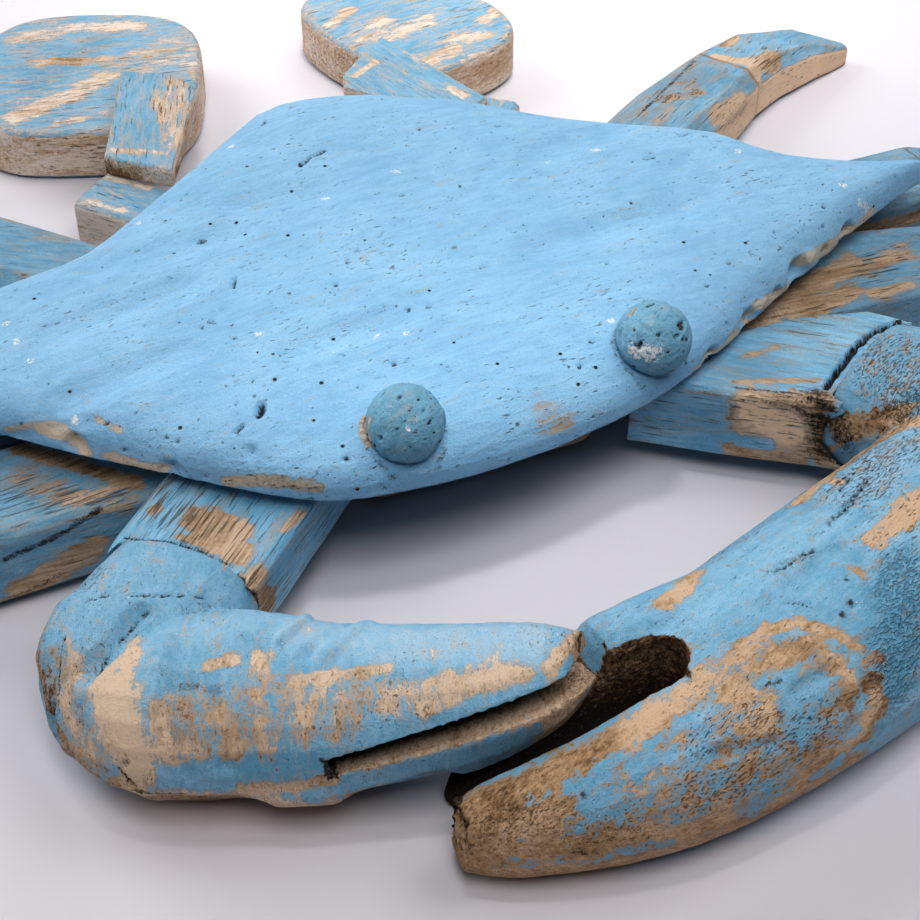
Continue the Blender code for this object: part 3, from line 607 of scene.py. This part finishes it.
class Carving:
    """A fine copy of one CAD solid that is carved and marked, in millimetres.

    axis is the direction of the grain in degrees and base how bare the wood is where no stroke lies.
    """

    def __init__(self, node, voxel, axis, base):
        self.node = node
        self.object = dense_copy(node, voxel)
        self.mesh = self.object.data
        count = len(self.mesh.vertices)
        co = np.zeros(count * 3, np.float32)
        self.mesh.vertices.foreach_get("co", co)
        self.co = co.reshape(-1, 3).astype(float) / MM
        pairs = np.zeros(len(self.mesh.edges) * 2, np.int32)
        self.mesh.edges.foreach_get("vertices", pairs)
        self.edges = pairs.reshape(-1, 2)
        self.degree = np.bincount(pairs, minlength=count)[:, None]
        self.update_normals()
        self.rest, self.rest_normal = self.co.copy(), self.normal
        self.wobble = fractal(self.rest / 1.4, 3, 3)
        c, s = math.cos(math.radians(axis)), math.sin(math.radians(axis))
        x, y, z = self.rest.T
        self.local = np.column_stack((x * c + y * s, y * c - x * s, z))
        for name in MARKS:
            setattr(self, name, np.zeros(count))
        self.bare += base

    def update_normals(self):
        self.mesh.vertices.foreach_set("co", (self.co * MM).astype(np.float32).ravel())
        self.mesh.update()
        normals = np.zeros(len(self.co) * 3, np.float32)
        self.mesh.vertex_normals.foreach_get("vector", normals)
        self.normal = normals.reshape(-1, 3).astype(float)

    def push(self, depth):
        """Moves vertices inwards along their normals by depth millimetres."""
        self.co -= self.normal * depth[:, None]

    def plane(self, depth):
        """Pushes the whole surface in by depth millimetres and finds its new normals."""
        self.push(depth)
        self.update_normals()

    def reach(self, points):
        """Distance of each vertex from a line of points, in millimetres."""
        points = np.array(points, float)
        size = points.shape[1]
        place = self.rest[:, :size]
        if len(points) == 1:
            points = np.repeat(points, 2, axis=0)
        best = np.full(len(place), np.inf)
        for a, b in zip(points[:-1], points[1:]):
            along, offset = b - a, place - a
            t = np.clip(offset @ along / max(along @ along, 1e-9), 0, 1)
            best = np.minimum(best, np.linalg.norm(offset - t[:, None] * along, axis=1))
        return np.where(self.rest_normal[:, 2] > TOP_SIDE, best, np.inf) if size == 2 else best

    def cover(self, stroke):
        """Where a stroke lies, 0 to 1, with a ragged edge that fades over up to FADE."""
        width = stroke[0]
        ramp = min(FADE, 0.7 * width)
        near = self.reach(stroke[2:]) - width + ramp * 0.9 * self.wobble
        return 1 - smooth_step(-ramp, ramp, near)

    def mark(self, values, strokes):
        """Moves a mark towards each stroke's amount inside the stroke, later strokes over earlier ones."""
        for stroke in strokes:
            values = values + (stroke[1] - values) * self.cover(stroke)
        return values

    def sculpt(self, strokes):
        """Raises (amount > 0) or sinks (amount < 0) the surface along soft strokes."""
        lift = np.zeros(len(self.co))
        for stroke in strokes:
            lift += stroke[1] * np.clip(1 - (self.reach(stroke[2:]) / stroke[0]) ** 2, 0, 1) ** 2
        self.plane(-lift)

    def gouge(self, strokes, roughness, cut, stain_and_shade, darkness):
        """Cuts ragged grooves along strokes, like CRACK or HOLE, and darkens them with stain and painted
        shade.
        """
        for stroke in strokes:
            near = self.reach(stroke[2:]) / stroke[0] + roughness * self.wobble
            self.push((1 - smooth_step(*cut, near)) * stroke[1])
            self.dark = np.maximum(self.dark, darkness * (1 - smooth_step(*stain_and_shade, near)))

    def dress(self, strokes):
        """Applies strokes, given by kind."""
        self.sculpt(strokes.get("sculpt", ()))
        for name in MARKS:
            setattr(self, name, self.mark(getattr(self, name), strokes.get(name, ())))
        self.gouge(strokes.get("crack", ()), *CRACK)
        self.gouge(strokes.get("hole", ()), *HOLE)
        self.update_normals()

    def pit(self, count, radius, depth, seed, darkness, where=None, stretch=1.0):
        """Scatters small pits: where says how likely they are, stretch how drawn out along the grain."""
        rng = np.random.default_rng(seed)
        chance = np.ones(len(self.rest)) if where is None else np.clip(where, 0, 1)
        centres = rng.choice(len(self.rest), count, p=chance / chance.sum())
        sizes = radius * rng.lognormal(0.0, 0.5, count)
        scaled = self.local / np.array((stretch, 1.0, 1.0))
        order = np.argsort(scaled[:, 0])
        xs = scaled[order, 0]
        for centre, size in zip(centres, sizes):
            low, high = np.searchsorted(xs, scaled[centre, 0] + np.array((-1.3, 1.3)) * size)
            some = order[low:high]
            near = np.linalg.norm(scaled[some] - scaled[centre], axis=1) / size
            sink = (1 - smooth_step(0.2, 1.0, near)) * depth * min(size / radius, 1.5)
            self.co[some] -= self.normal[some] * sink[:, None]
            self.dark[some] = np.maximum(self.dark[some], darkness * (1 - smooth_step(0.45, 1.0, near)))

    def relief(self, times):
        """How far each vertex stands out of (+) or sits in (-) its smoothed surroundings, in millimetres."""
        a, b = self.edges.T
        mean = self.co
        for _ in range(times):
            sums = [np.bincount(a, row[b], len(row)) + np.bincount(b, row[a], len(row)) for row in mean.T]
            mean = np.column_stack(sums) / self.degree
        return ((self.co - mean) * self.normal).sum(axis=1)

    def finish(self, material):
        """Hands the marks and grain directions to the material and puts the piece in place of its solid."""
        self.co[:, 2] = np.maximum(self.co[:, 2], 0.01)
        self.update_normals()
        for name in MARKS:
            attribute = self.mesh.attributes.new(name, "FLOAT", "POINT")
            attribute.data.foreach_set("value", getattr(self, name).astype(np.float32))
        attribute = self.mesh.attributes.new("local", "FLOAT_VECTOR", "POINT")
        attribute.data.foreach_set("vector", self.local.astype(np.float32).ravel())
        self.mesh.shade_smooth()
        self.mesh.materials.append(material)
        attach(self.object, "root")
        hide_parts(self.node)


# ---- materials

PORE_BROWN = (0.07, 0.045, 0.03, 1)
# dark brown of stains, also used as painted shade in hollows, grooves, the slot, the slit and round the eyes
STAIN_AND_SHADE = (0.022, 0.013, 0.008, 1)
CHIP_WHITE = (0.80, 0.78, 0.77, 1)
# painted shade in the dimples of rippled skin
DIMPLE_SHADE_BLUE = (0.03, 0.10, 0.17, 1)
# bleached wood, also painted light on a few faces turned to the lamps
BLEACHED_AND_LIT = (0.95, 0.69, 0.48, 1)
# plain and deep paint
SHELL_PAINTS = ((0.31, 0.57, 0.80, 1), (0.22, 0.45, 0.68, 1))
LIMB_PAINTS = ((0.25, 0.47, 0.64, 1), (0.13, 0.34, 0.50, 1))
ARM_PAINTS = ((0.30, 0.58, 0.78, 1), (0.13, 0.37, 0.56, 1))
LEG_PAINTS = ((0.24, 0.46, 0.62, 1), (0.10, 0.29, 0.44, 1))
EYE_PAINTS = ((0.22, 0.46, 0.62, 1), (0.14, 0.34, 0.48, 1))
# fresh, aged and dark wood
SHELL_WOODS = ((0.62, 0.54, 0.45, 1), (0.45, 0.37, 0.29, 1), (0.22, 0.17, 0.12, 1))
LIMB_WOODS = ((0.60, 0.435, 0.31, 1), (0.40, 0.27, 0.165, 1), (0.17, 0.095, 0.045, 1))
WARM_WOODS = ((0.61, 0.425, 0.285, 1), (0.42, 0.27, 0.15, 1), (0.18, 0.095, 0.042, 1))
PALE_WOODS = ((0.68, 0.52, 0.39, 1), (0.50, 0.35, 0.23, 1), (0.19, 0.11, 0.06, 1))
PADDLE_WOODS = ((0.80, 0.68, 0.59, 1), (0.60, 0.42, 0.28, 1), (0.30, 0.17, 0.085, 1))


class Graph:
    """A new material with short calls for its shader nodes."""

    def __init__(self, name):
        self.material = bpy.data.materials.new(name)
        self.material.use_nodes = True
        self.nodes, self.links = self.material.node_tree.nodes, self.material.node_tree.links
        self.shader = self.nodes["Principled BSDF"]

    def add(self, kind, inputs, output=0, **settings):
        node = self.nodes.new(kind)
        for key, value in settings.items():
            setattr(node, key, value)
        for key, value in inputs.items():
            if isinstance(value, bpy.types.NodeSocket):
                self.links.new(value, node.inputs[key])
            else:
                node.inputs[key].default_value = value
        return node.outputs[output]

    def attribute(self, name, output="Fac"):
        return self.add("ShaderNodeAttribute", {}, output, attribute_name=name)

    def stretched(self, vector, scale):
        return self.add("ShaderNodeMapping", {"Vector": vector, "Scale": scale})

    def noise(self, vector, scale, detail, rough, warp=0.0):
        """Noise about 0, from -0.5 to 0.5."""
        noise = self.add("ShaderNodeTexNoise", {"Vector": vector, "Scale": scale, "Detail": detail,
                                                "Roughness": rough, "Distortion": warp})
        return self.math("SUBTRACT", noise, 0.5)

    def math(self, operation, a, b, c=0.0):
        return self.add("ShaderNodeMath", {0: a, 1: b, 2: c}, operation=operation)

    def sum(self, start, *terms):
        """start plus each term's value times its weight."""
        for value, weight in terms:
            start = self.math("MULTIPLY_ADD", value, weight, start)
        return start

    def band(self, value, low, high, out_low=0.0, out_high=1.0):
        """Goes smoothly from out_low to out_high as value goes from low to high."""
        return self.add("ShaderNodeMapRange", {"Value": value, "From Min": low, "From Max": high,
                                               "To Min": out_low, "To Max": out_high},
                        interpolation_type="SMOOTHSTEP")

    def blend(self, factor, a, b):
        return self.add("ShaderNodeMix", {0: factor, 6: a, 7: b}, 2, data_type="RGBA")


class PaintedWood(Graph):
    """The marks, the noise patterns and the layers of rubbed-back paint over open-grained wood."""

    def __init__(self, name, grain, streak, patch_mm):
        super().__init__(name)
        self.local = self.attribute("local", "Vector")
        for mark in MARKS:
            setattr(self, mark, self.attribute(mark))
        along, streaked = self.stretched(self.local, grain), self.stretched(self.local, streak)
        self.patches = self.noise(streaked, 1 / patch_mm, 6.0, 0.66, 0.5)
        self.brush = self.noise(streaked, 0.55, 4.0, 0.6, 0.5)
        self.fibre = self.noise(along, 1.1, 5.0, 0.65, 0.3)
        self.slow = self.noise(along, 0.14, 3.0, 0.5)
        self.cloud = self.noise(self.local, 0.05, 4.0, 0.55)
        self.speck = self.noise(self.local, 1.5, 4.0, 0.7)
        self.grit = self.noise(self.local, 4.5, 2.0, 0.6)

    def worn(self, raggedness):
        """Above 0 where the paint is gone, below 0 where it holds."""
        return self.sum(self.bare, (self.patches, 2.9 * raggedness), (self.fibre, 1.9 * raggedness),
                        (self.speck, 1.7 * raggedness), (self.grit, 0.8 * raggedness))

    def wood(self, woods):
        """Fresh, aged and dark fibres, bleached where tone is high; on faces turned to the lamps that
        bleaching is painted light.
        """
        brownness = self.sum(0.0, (self.tone, -0.9), (self.fibre, 3.0), (self.slow, 2.2), (self.speck, 1.5))
        colour = self.blend(self.band(brownness, -0.45, 0.5), woods[0], woods[1])
        colour = self.blend(self.band(brownness, 0.25, 1.4), colour, woods[2])
        return self.blend(self.band(self.tone, 1.0, 2.0), colour, BLEACHED_AND_LIT)

    def paint(self, paints, worn, aged_wood, dirt):
        """Deep, plain, chalky and dirty paint, thin over the wood beside worn places; tone strokes also paint
        light and shade into it.
        """
        plain, deep = paints
        chalky = tuple(0.6 * c + 0.26 for c in plain[:3]) + (1.0,)
        lightness = self.sum(0.0, (self.tone, 0.55), (self.brush, 1.5), (self.cloud, 1.5), (self.speck, 0.7),
                             (self.fibre, 1.1), (self.grit, 1.3))
        colour = self.blend(self.band(lightness, -0.6, 0.5), deep, plain)
        colour = self.blend(self.band(lightness, 0.3, 1.1, 0.0, 0.7), colour, chalky)
        colour = self.blend(self.band(worn, -0.9, -0.05, 0.0, 0.5), colour, aged_wood)
        return self.blend(self.band(self.grit, 0.08, 0.26, 0.0, dirt), colour, PORE_BROWN)

    def open_pores(self, gone, pore_grain, pores_per_mm):
        """Short dark pores of the grain, a few more where the paint is gone."""
        pore = self.noise(self.stretched(self.local, pore_grain), 1.5 * pores_per_mm, 3.0, 0.55)
        return self.band(self.sum(pore, (self.pores, 0.11), (self.cloud, 0.3), (gone, 0.03)), 0.14, 0.28)

    def round_holes(self, share):
        """Pinholes in a share of the cells that fill the wood."""
        cells = {"Vector": self.local, "Scale": 0.42}
        near = self.add("ShaderNodeTexVoronoi", cells, "Distance")
        chance = self.add("ShaderNodeSeparateColor", {0: self.add("ShaderNodeTexVoronoi", cells, "Color")})
        return self.math("MULTIPLY", self.band(near, 0.20, 0.12), self.band(chance, 1 - share, 1.02 - share))

    def dimples(self):
        dimple = self.noise(self.stretched(self.local, (0.7, 1.4, 1.0)), 1.5, 1.5, 0.5)
        return self.math("MULTIPLY", self.band(dimple, -0.08, 0.12), self.ripple)

    def height(self, gone, pore, dimple):
        """Relief too fine to carve: fibres stand out more where the paint is gone."""
        fibre_height = self.band(gone, 0.0, 1.0, 0.4, 1.0)
        return self.sum(0.0, (gone, -0.5), (fibre_height, 0.5), (self.fibre, fibre_height), (self.brush, 0.5),
                        (self.speck, 0.8), (self.grit, 0.4), (pore, -0.9), (dimple, -1.3))


def painted_wood(name, paints, woods, grain, streak, patch_mm, pinholes=0.0, raggedness=1.0,
                 pore_grain=(0.3, 1, 1), pores_per_mm=1.2, dirt=0.5, depth_mm=0.55):
    """Rubbed-back paint over open-grained wood.

    grain, streak and pore_grain stretch the fibres, the worn patches and the open pores along a piece's own
    axes (small = long). pinholes is the share of cells with one, dirt how strong the grit in the paint is.
    """
    g = PaintedWood(name, grain, streak, patch_mm)
    worn = g.worn(raggedness)
    gone = g.band(worn, -0.12, 0.12)
    pore, dimple = g.open_pores(gone, pore_grain, pores_per_mm), g.dimples()
    colour = g.blend(gone, g.paint(paints, worn, woods[1], dirt), g.wood(woods))
    colour = g.blend(g.math("MULTIPLY", pore, 0.7), colour, PORE_BROWN)
    colour = g.blend(g.band(g.sum(g.pale, (g.speck, 2.4)), 0.35, 0.6), colour, CHIP_WHITE)
    # painted shade: the dimples' hollows darkened towards deep blue
    colour = g.blend(g.math("MULTIPLY", dimple, 0.3), colour, DIMPLE_SHADE_BLUE)
    # the dark mark: stains, and painted shade where strokes and hollows put it
    stain_and_shade = g.band(g.sum(g.dark, (g.speck, 1.8), (g.fibre, 1.2), (g.grit, 1.0)), 0.2, 1.05)
    if pinholes:
        hole = g.round_holes(pinholes)
        stain_and_shade = g.math("MAXIMUM", stain_and_shade, hole)
        pore = g.math("MAXIMUM", pore, hole)
    colour = g.blend(stain_and_shade, colour, STAIN_AND_SHADE)
    normal = g.add("ShaderNodeBump", {"Strength": 0.9, "Distance": depth_mm * MM,
                                      "Height": g.height(gone, pore, dimple)})
    g.links.new(colour, g.shader.inputs["Base Color"])
    g.links.new(normal, g.shader.inputs["Normal"])
    g.links.new(g.band(gone, 0.0, 1.0, 0.55, 0.85), g.shader.inputs["Roughness"])
    g.shader.inputs["Specular IOR Level"].default_value = 0.3
    return g.material


# ---- places

# gouged slot of the left claw: inner end, mouth, half width
SLOT_END, SLOT_MOUTH, SLOT_REACH = np.array((-2.6, -123.6)), np.array((-40.0, -125.4)), 8.0
# least part of a slot wall's normal towards the middle of the slot, most part of it up or down
SLOT_FACING, SLOT_TILT = 0.2, 0.75
# low back finger of the left claw, painted dark as shade under the right claw: it lies below this x and z and
# above this y
LOW_FINGER = (-8.5, -123.6, 19.0)
# broken end of the front finger, and how far its splinters thin out and end
SPLINTERED, SPLINTER_NEAR, SPLINTER_FAR = (-42.0, -131.0, 11.0), 2.0, 7.0
# saw cut of the right claw: inner end, a point along it, degrees it dips inwards, half its gap and its end's
SLIT_START, SLIT_TOWARDS = np.array((-56.6, -119.2, 18.9)), np.array((-23.0, -124.8, 26.0))
SLIT_DIP, SLIT_HALF, SLIT_END_HALF = 24.0, 3.2, 2.4
SLIT_FACING = 0.6       # least part of a slit wall's normal across the cut

# soft panels: name, compass angle from +X and height in degrees, side in metres, power in watts
PANELS = (("back_left", 120, 30, 0.6, 5.2), ("back_right", 60, 30, 0.6, 2.6), ("left", 165, 18, 0.6, 1.6),
          ("right", -10, 58, 0.6, 3.5), ("front_top", 255, 64, 0.4, 3.9))
PANEL_TARGET, PANEL_DISTANCE = Vector((0.0, -0.05, 0.02)), 1.0
# spots that shine straight down: name, place, cone in degrees, power in watts, softness
SPOTS = (("claw_pool", -0.006, -0.074, 10.5, 12.0, 0.07), ("backdrop_left", 0.03, 0.20, 17, 12.0, 0.08),
         ("backdrop_right", 0.13, 0.13, 20, 16.0, 0.08))
SPOT_HEIGHT = 0.8
WORLD_COLOUR, WORLD_STRENGTH = (0.93, 0.96, 1.0, 1), 0.01
FLOOR_COLOUR, FLOOR_ROUGHNESS, FLOOR_HALF = (0.62, 0.59, 0.63, 1), 0.9, 3.0
# camera: compass angle from -Y and height in degrees, metres from its target, millimetres of lens
CAMERA_TARGET = Vector((-0.0125, -0.06601, 0.024))
CAMERA_AZIMUTH, CAMERA_HEIGHT, CAMERA_DISTANCE, CAMERA_LENS = -22.9, 41.9, 0.324, 70.43


# ---- the pieces

def ring_of(node):
    """Points of a circle round a CAD solid, seen from above."""
    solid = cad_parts[node]
    corners = [(solid.matrix_world @ Vector(corner) / MM).xy for corner in solid.bound_box]
    low, high = (Vector(map(pick, zip(*corners))) for pick in (min, max))
    middle, radius = (low + high) / 2, (high.x - low.x) / 2
    turns = [k * math.tau / 16 for k in range(17)]
    return [(middle.x + radius * math.cos(t), middle.y + radius * math.sin(t)) for t in turns]


def shell():
    part = Carving("shell", 0.5, 4.0, -1.4)
    # broad hand-planed swells that run from side to side, then a finer unevenness
    swell = fractal(part.local / (70, 14, 30), 11, 2)
    fine = fractal(part.local / (8, 4, 6), 12, 4, 0.6)
    part.plane(0.55 + 0.85 * swell + 0.17 * fine)
    part.dress(STROKES["shell"])
    # painted contact shadow: a dark ring on the shell round the foot of each eye
    part.dress({"dark": [(0.5, 0.5, *ring_of("eye_left")), (0.5, 0.5, *ring_of("eye_right"))],
                "hole": [(0.45, 0.8, place) for place in SHELL_KNOCKS],
                "pale": [(0.9, 0.55, place) for place in SHELL_CHIPS]})
    clusters = 0.3 + fractal(part.local / 11, 13, 2)
    part.pit(300, 0.3, 0.35, 21, 0.7, stretch=1.6)
    part.pit(1100, 0.2, 0.2, 22, 0.6, where=clusters, stretch=1.4)
    part.finish(painted_wood("shell_paint_on_wood", SHELL_PAINTS, SHELL_WOODS, (0.12, 1, 1), (0.3, 1, 1), 3.0,
                             pinholes=0.06, raggedness=1.5, dirt=0.2, depth_mm=0.5))


def eye(node, seed, material):
    part = Carving(node, 0.28, 20.0, -0.95)
    part.plane(0.2 + 0.45 * fractal(part.local / 3.5, seed, 4, 0.6))
    # painted shade: darker where the eye's surface sits below its smoothed surroundings
    part.dark += np.clip(-4.0 * part.relief(12) - 0.05, 0.0, 0.35)
    part.dress(STROKES[node])
    part.pit(60, 0.3, 0.3, seed + 3, 0.8, stretch=2.0)
    part.finish(material)


def plain_limb(node, voxel, axis, material, base=-0.7, pores=0.2, wall_wear_and_light=None):
    """A limb of plain plank; the wall pair gives how bare and what tone its side faces are, unlike its top; a
    high tone there paints them lighter as lit.
    """
    part = Carving(node, voxel, axis, base)
    if wall_wear_and_light:
        steep = smooth_step(0.6, 0.35, np.abs(part.rest_normal[:, 2]))
        part.bare += (wall_wear_and_light[0] - base) * steep
        part.tone += wall_wear_and_light[1] * steep
    part.plane(0.12 + 0.18 * fractal(part.local / (14, 6, 6), 31, 3))
    part.bare += np.clip(1.6 * part.relief(8), -0.2, 0.5)
    part.pores += pores
    part.dress(STROKES.get(node, {}))
    part.finish(material)


def stain_and_shade_slot(part):
    """Bare brown walls in the left claw's slot and low back finger, darkened further as painted shade, most
    low down, and splinters at its broken finger.
    """
    along, offset = SLOT_MOUTH - SLOT_END, part.rest[:, :2] - SLOT_END
    t = np.clip(offset @ along / (along @ along), 0, 1)
    away = offset - t[:, None] * along
    near = np.linalg.norm(away, axis=1)
    inward = -(away * part.rest_normal[:, :2]).sum(axis=1) / np.maximum(near, 1e-6)
    wall = (near < SLOT_REACH) & (inward > SLOT_FACING) & (np.abs(part.rest_normal[:, 2]) < SLOT_TILT)
    x, y, z = part.rest.T
    wall |= (x < LOW_FINGER[0]) & (y > LOW_FINGER[1]) & (z < LOW_FINGER[2])
    part.bare[wall] = 1.3
    part.tone[wall] = -1.0
    part.pores[wall] = 0.6
    # painted shade: the walls grow darker lower down
    part.dark[wall] = 0.62 + 0.5 * smooth_step(20.0, 8.0, z[wall])
    from_tip = np.linalg.norm(part.rest - SPLINTERED, axis=1)
    part.pit(45, 0.8, 0.9, 61, 0.8, where=smooth_step(SPLINTER_FAR, SPLINTER_NEAR, from_tip))


def bare_and_shade_slit(part):
    """Bare wood inside the saw cut of the right claw, with painted shade: black at the back and under its
    upper lip.
    """
    along = SLIT_TOWARDS - SLIT_START
    along /= np.linalg.norm(along)
    level = np.cross((0, 0, 1), along)
    level /= np.linalg.norm(level)
    dip = math.radians(SLIT_DIP)
    inward = level * math.cos(dip) - np.cross(along, level) * math.sin(dip)
    across = np.cross(along, inward)
    across *= np.sign(across[2])
    offset = part.rest - SLIT_START
    height, reach, depth = offset @ across, offset @ along, offset @ inward
    facing = part.rest_normal @ across
    inside = (np.abs(height) < SLIT_HALF) & (reach > -1.5) & (depth > 0.3) & (np.abs(facing) > SLIT_FACING)
    inside &= np.sign(facing) == -np.sign(height)
    part.bare[inside] = 1.0
    # painted shade: black under the upper lip; below it darker deeper in and lighter towards the open end
    lower = (0.15 + 0.85 * smooth_step(3.0, 10.0, depth)) * (1 - 0.75 * smooth_step(24.0, 40.0, reach))
    part.dark[inside] = np.where(facing < 0, 1.0, lower)[inside]
    # painted shade: black at the back of the cut
    end = (np.abs(height) < SLIT_END_HALF) & (reach > -1.2) & (reach < 0.6) & (depth > 0.3)
    part.dark[end] = 1.0


def claw(node, axis, material, stain_and_shade):
    part = Carving(node, 0.45, axis, -1.15)
    broad = fractal(part.local / (14, 8, 8), 31, 5, 0.6)
    part.plane(0.2 + 0.3 * broad + 0.09 * fractal(part.local / 1.7, 37, 2))
    relief = part.relief(14)
    part.bare += np.clip(1.8 * relief, -0.2, 0.5)
    # painted shade: darker where the surface sits below its smoothed surroundings
    part.dark += np.clip(-3.0 * relief - 0.08, 0.0, 0.3)
    part.dress(STROKES[node])
    stain_and_shade(part)
    part.finish(material)


def eyes():
    paint = painted_wood("eye_paint_on_wood", EYE_PAINTS, SHELL_WOODS, (0.4, 1, 1), (0.5, 1, 1), 3.0,
                         pinholes=0.3, dirt=0.6)
    eye("eye_left", 41, paint)
    eye("eye_right", 51, paint)


def arms_and_claws():
    arms = painted_wood("arm_paint_on_wood", ARM_PAINTS, LIMB_WOODS, (0.08, 1, 1), (0.22, 1, 1), 3.5,
                        pore_grain=(0.06, 1, 1), pores_per_mm=1.5)
    right = painted_wood("claw_right_paint_on_wood", LIMB_PAINTS, PALE_WOODS, (1.2, 0.4, 0.4),
                         (1.1, 0.4, 0.4), 3.0, raggedness=1.5, pore_grain=(1, 0.5, 0.5), pores_per_mm=2.0,
                         dirt=0.8)
    left = painted_wood("claw_left_paint_on_wood", LIMB_PAINTS, WARM_WOODS, (0.5, 1, 1), (0.55, 1, 1), 3.0,
                        raggedness=1.6, pores_per_mm=2.0, dirt=0.8)
    plain_limb("arm_right", 0.4, 44, arms, pores=0.8)
    plain_limb("arm_left", 0.4, -40, arms, pores=0.4)
    claw("claw_right", -23, right, bare_and_shade_slit)
    claw("claw_left", 21.8, left, stain_and_shade_slot)


def legs_and_body():
    legs = painted_wood("leg_paint_on_wood", LEG_PAINTS, LIMB_WOODS, (0.10, 1, 1), (0.3, 1, 1), 3.5,
                        pore_grain=(0.07, 1, 1), pores_per_mm=1.5)
    paddles = painted_wood("paddle_paint_on_wood", LIMB_PAINTS, PADDLE_WOODS, (0.15, 1, 1), (0.3, 1, 1), 2.5,
                           raggedness=1.3, pore_grain=(0.09, 1, 1), pores_per_mm=1.5)
    for side, sign in (("left", 1), ("right", -1)):
        for number, axis in ((1, -3), (2, 3), (3, 35)):
            # side faces of the third left leg bare and bleached: painted light on faces turned to the lamps
            wall_wear_and_light = (1.0, 1.7) if (side, number) == ("left", 3) else None
            for length in ("upper", "tip"):
                plain_limb(f"leg_{side}_{number}_{length}", 0.6, sign * axis, legs, wall_wear_and_light=wall_wear_and_light)
        plain_limb("paddle_root_" + side, 0.5, sign * 50, paddles, wall_wear_and_light=(0.9, 0.3))
        plain_limb("paddle_stem_" + side, 0.5, sign * -70, paddles, wall_wear_and_light=(0.6, 0.0))
        plain_limb("paddle_" + side, 0.6, sign * 10, paddles, base=-0.6, wall_wear_and_light=(1.1, 0.0))
    plain_limb("body", 1.0, 0, legs, base=0.9)


# ---- stage

def put(name, data):
    item = bpy.data.objects.new(name, data)
    bpy.context.scene.collection.objects.link(item)
    return item


def aim(item, turn, rise, distance, target):
    """Puts a lamp or camera at a distance from its target, looking at it from turn and rise degrees."""
    turn, rise = math.radians(turn), math.radians(rise)
    way = Vector((math.cos(turn) * math.cos(rise), math.sin(turn) * math.cos(rise), math.sin(rise)))
    item.location = target + way * distance
    item.rotation_euler = (-way).to_track_quat("-Z", "Y").to_euler()


def camera():
    data = bpy.data.cameras.new("camera")
    data.lens = CAMERA_LENS
    data.sensor_width = 36.0
    data.clip_start = 0.01
    view = put("camera", data)
    aim(view, CAMERA_AZIMUTH - 90, CAMERA_HEIGHT, CAMERA_DISTANCE, CAMERA_TARGET)
    bpy.context.scene.camera = view


def floor():
    """Pale paper under the crab."""
    mesh = bpy.data.meshes.new("floor")
    side = (-FLOOR_HALF, FLOOR_HALF)
    mesh.from_pydata([(x, y, 0) for y in side for x in side], [], [(0, 1, 3, 2)])
    material = bpy.data.materials.new("floor_paper")
    material.use_nodes = True
    shader = material.node_tree.nodes["Principled BSDF"]
    shader.inputs["Base Color"].default_value = FLOOR_COLOUR
    shader.inputs["Roughness"].default_value = FLOOR_ROUGHNESS
    mesh.materials.append(material)
    put("floor", mesh)


def lights():
    """Dim world, soft panels round the crab and soft pools of light on the floor."""
    world = bpy.data.worlds.new("studio")
    world.use_nodes = True
    background = world.node_tree.nodes["Background"]
    background.inputs["Color"].default_value = WORLD_COLOUR
    background.inputs["Strength"].default_value = WORLD_STRENGTH
    bpy.context.scene.world = world
    for name, turn, rise, side, power in PANELS:
        lamp = bpy.data.lights.new(name, "AREA")
        lamp.size = side
        lamp.energy = power
        aim(put(name, lamp), turn, rise, PANEL_DISTANCE, PANEL_TARGET)
    for name, x, y, cone, power, softness in SPOTS:
        lamp = bpy.data.lights.new(name, "SPOT")
        lamp.energy = power
        lamp.spot_size = math.radians(cone)
        lamp.spot_blend = 1.0
        lamp.shadow_soft_size = softness
        put(name, lamp).location = (x, y, SPOT_HEIGHT)


def main():
    bpy.context.scene.view_settings.view_transform = "Standard"
    bpy.context.scene.view_settings.look = "Medium High Contrast"
    camera()
    floor()
    lights()
    shell()
    eyes()
    arms_and_claws()
    legs_and_body()


main()
